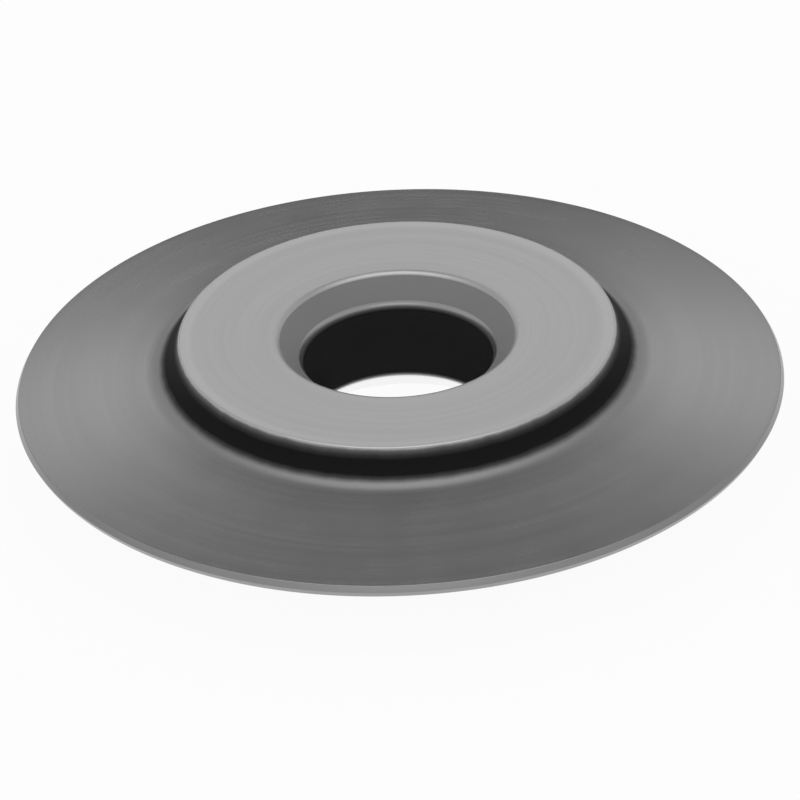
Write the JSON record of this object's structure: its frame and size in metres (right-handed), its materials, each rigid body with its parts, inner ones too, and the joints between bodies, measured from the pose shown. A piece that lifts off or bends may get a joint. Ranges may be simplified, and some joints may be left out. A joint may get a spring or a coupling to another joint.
{
  "type": "pipe cutter wheel",
  "caption": "Round steel cutting wheel with conical flanks, a short cutting edge, a flat raised hub on both sides and a chamfered bore for a pin.",
  "frame": {"origin": "centre of the wheel: on the bore's axis, in the plane of the cutting edge, midway between the two hub faces", "axes": "+Z along the bore's axis, square to the hub faces; the wheel lies flat on its lower hub face. It is turned, so +X and +Y are any two directions across it"},
  "size_m": [0.0194, 0.0194, 0.0034],
  "materials": {
    "tool_steel": "ground and oiled tool steel, satin"
  },
  "bodies": {
    "root": {"cutter_wheel": "tool_steel"}
  },
  "joints": []
}
